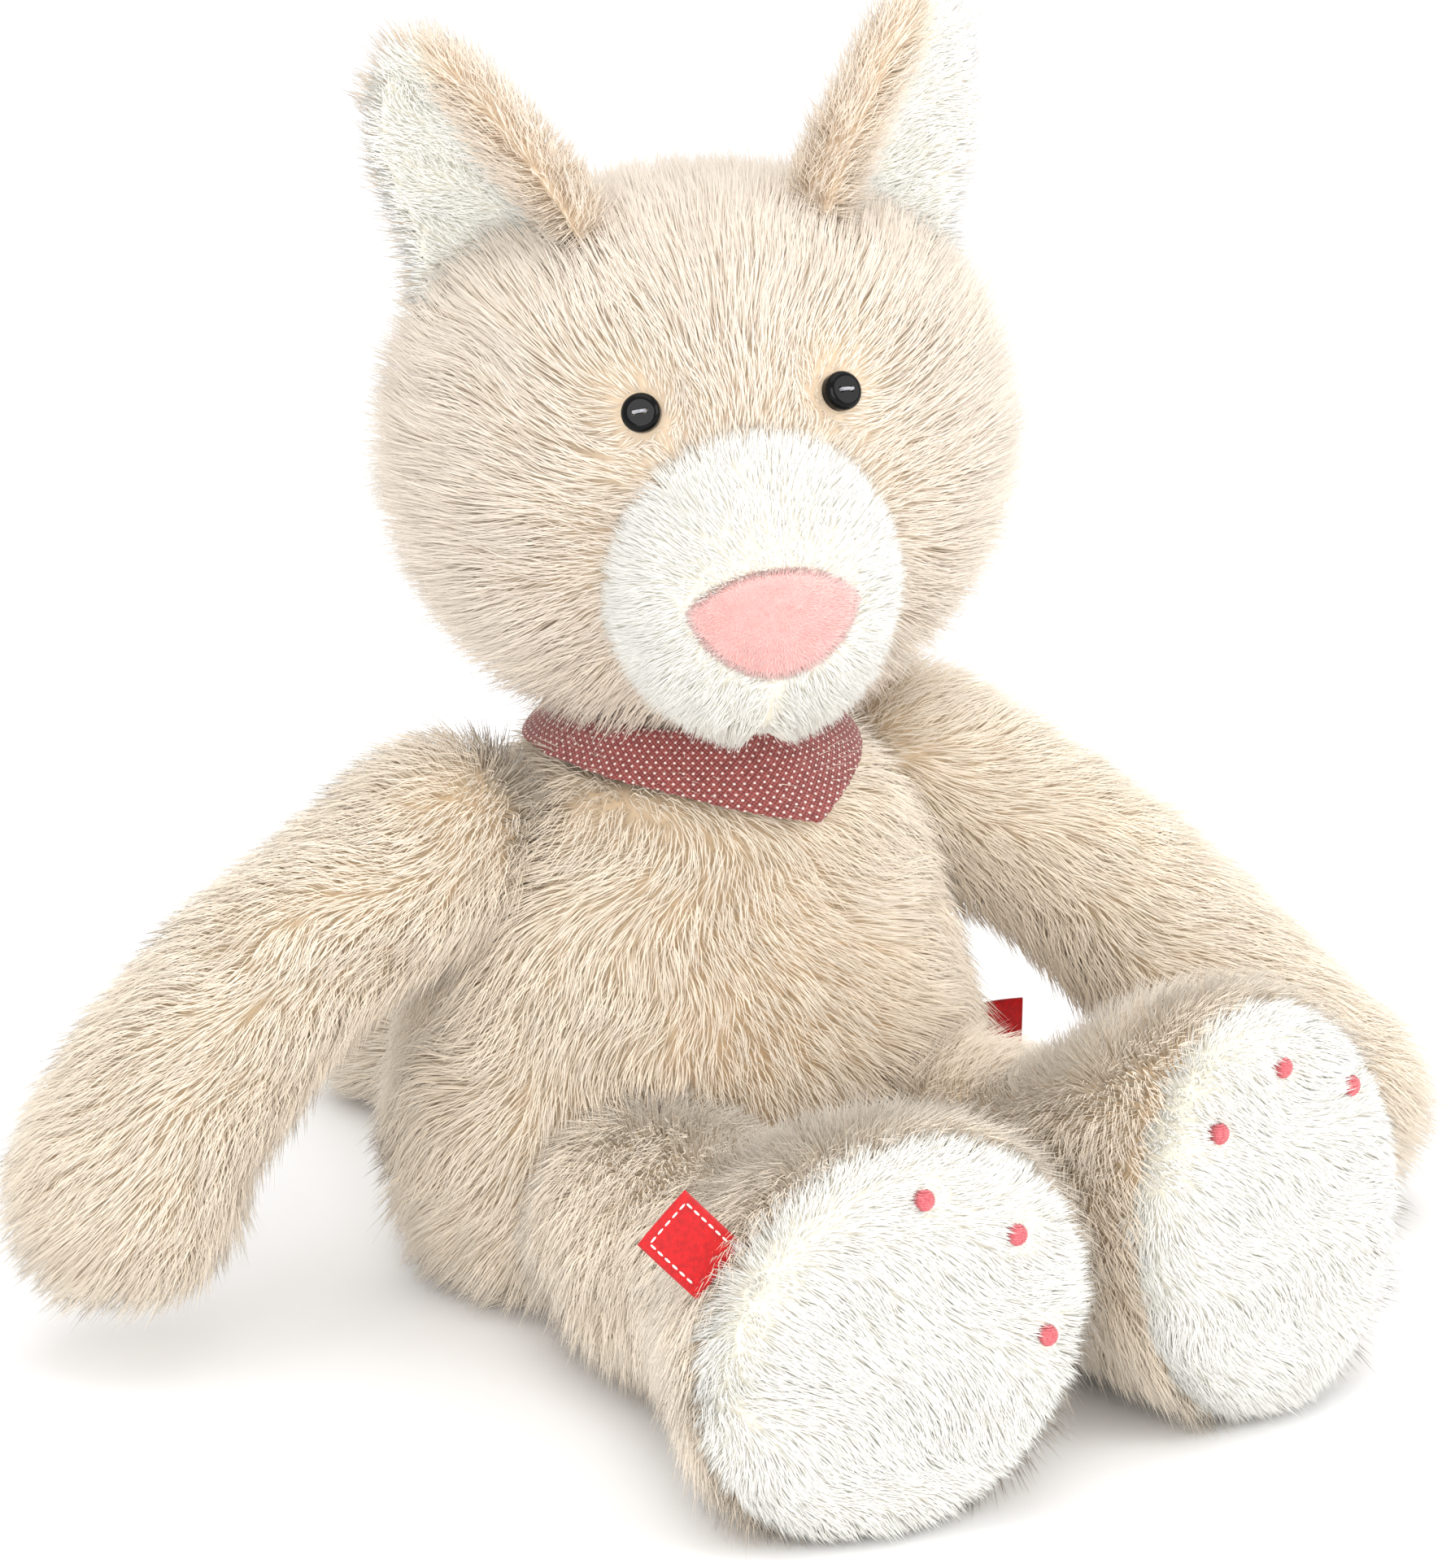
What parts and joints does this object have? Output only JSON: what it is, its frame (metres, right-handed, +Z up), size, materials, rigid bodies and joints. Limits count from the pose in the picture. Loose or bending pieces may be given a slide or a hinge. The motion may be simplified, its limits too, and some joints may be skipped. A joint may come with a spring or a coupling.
{
  "type": "plush dog",
  "caption": "Seated long-pile plush dog with button eyes, cream muzzle and foot soles, soft arms, legs, ears and tail, and a dotted neck scarf.",
  "frame": {"origin": "middle of the flat seat, on the ground", "axes": "+Z up, the dog's body faces -Y, its left side is +X"},
  "size_m": [0.2586, 0.2534, 0.2344],
  "materials": {
    "beige_plush": "long soft pile, pale tips over tan roots",
    "cream_plush": "short dense cream pile",
    "pink_plush": "short brushed pink pile",
    "fibre_stuffing": "white polyester fibre",
    "pouch_cotton": "plain woven cotton",
    "pellet_plastic": "moulded pellets",
    "beige_thread": "twisted thread",
    "grey_thread": "twisted thread",
    "button_plastic": "polished black",
    "scarf_jersey": "dusty red knit with small cream dots",
    "label_satin": "woven red satin ribbon",
    "toe_embroidery": "satin stitch in dusky pink thread"
  },
  "bodies": {
    "torso": {"torso_front_panel": "beige_plush", "torso_back_left_panel": "beige_plush", "torso_back_right_panel": "beige_plush", "seat_panel": "beige_plush", "torso_stuffing": "fibre_stuffing", "pellet_pouch": "pouch_cotton", "pellets": "pellet_plastic", "closing_stitches": "beige_thread"},
    "neck": {"neck_stuffing": "fibre_stuffing"},
    "head": {"head_left_panel": "beige_plush", "head_right_panel": "beige_plush", "head_gusset": "beige_plush", "head_stuffing": "fibre_stuffing", "muzzle_left_panel": "cream_plush", "muzzle_right_panel": "cream_plush", "muzzle_stuffing": "fibre_stuffing", "nose_panel": "pink_plush", "eye_left": "button_plastic", "eye_right": "button_plastic", "eye_thread_left": "grey_thread", "eye_thread_right": "grey_thread"},
    "ear_left": {"ear_back_left": "beige_plush", "ear_lining_left": "cream_plush"},
    "ear_right": {"ear_back_right": "beige_plush", "ear_lining_right": "cream_plush"},
    "arm_left": {"arm_front_left": "beige_plush", "arm_back_left": "beige_plush", "arm_stuffing_left": "fibre_stuffing"},
    "arm_right": {"arm_front_right": "beige_plush", "arm_back_right": "beige_plush", "arm_stuffing_right": "fibre_stuffing"},
    "leg_left": {"leg_outer_left": "beige_plush", "leg_inner_left": "beige_plush", "sole_left": "cream_plush", "leg_stuffing_left": "fibre_stuffing", "toe_stitches_left": "toe_embroidery"},
    "leg_right": {"leg_outer_right": "beige_plush", "leg_inner_right": "beige_plush", "sole_right": "cream_plush", "leg_stuffing_right": "fibre_stuffing", "toe_stitches_right": "toe_embroidery"},
    "tail": {"tail_left_panel": "beige_plush", "tail_right_panel": "beige_plush", "tail_stuffing": "fibre_stuffing"},
    "scarf": {"scarf_cloth": "scarf_jersey", "scarf_knot": "scarf_jersey"},
    "flag": {"flag_label": "label_satin"},
    "side_tag": {"side_label": "label_satin"}
  },
  "joints": [
    {"name": "neck_turn", "type": "hinge", "parent": "torso", "child": "neck", "pos_m": [0, 0, 0.101], "axis": [0, 0, 1], "range_deg": [-40, 40]},
    {"name": "neck_nod", "type": "hinge", "parent": "neck", "child": "head", "pos_m": [0, 0, 0.101], "axis": [0.9483, -0.3173, 0], "range_deg": [-12, 12]},
    {"name": "ear_left_fold", "type": "hinge", "parent": "head", "child": "ear_left", "pos_m": [0.02667, -0.00871, 0.20022], "axis": [0.895, 0.303, -0.3273], "range_deg": [-20, 20]},
    {"name": "ear_right_fold", "type": "hinge", "parent": "head", "child": "ear_right", "pos_m": [-0.02917, 0.00998, 0.19662], "axis": [0.4893, -0.7662, 0.4165], "range_deg": [-20, 20]},
    {"name": "shoulder_left_lift", "type": "hinge", "parent": "torso", "child": "arm_left", "pos_m": [0.049, 0.004, 0.086], "axis": [-0.6157, -0.788, 0], "range_deg": [0, 70]},
    {"name": "shoulder_right_lift", "type": "hinge", "parent": "torso", "child": "arm_right", "pos_m": [-0.049, 0.004, 0.086], "axis": [-0.0523, 0.9986, 0], "range_deg": [0, 70]},
    {"name": "hip_left_swing", "type": "hinge", "parent": "torso", "child": "leg_left", "pos_m": [0.033, -0.042, 0.024], "axis": [-1, 0, 0], "range_deg": [-35, 24]},
    {"name": "hip_right_swing", "type": "hinge", "parent": "torso", "child": "leg_right", "pos_m": [-0.033, -0.046, 0.024], "axis": [-1, 0, 0], "range_deg": [-35, 24]},
    {"name": "tail_wag", "type": "hinge", "parent": "torso", "child": "tail", "pos_m": [0, 0.051, 0.019], "axis": [0, 0, 1], "range_deg": [-35, 35]},
    {"name": "scarf_slide", "type": "hinge", "parent": "torso", "child": "scarf", "pos_m": [0, 0, 0.101], "axis": [0, 0, 1], "range_deg": [-12, 12]},
    {"name": "flag_label_flap", "type": "hinge", "parent": "leg_right", "child": "flag", "pos_m": [-0.06554, -0.12477, 0.04856], "axis": [-0.7325, 0.0429, -0.6794], "range_deg": [-20, 20]},
    {"name": "side_label_flap", "type": "hinge", "parent": "torso", "child": "side_tag", "pos_m": [0.0529, -0.009, 0.029], "axis": [0, 0, 1], "range_deg": [-20, 20]}
  ]
}
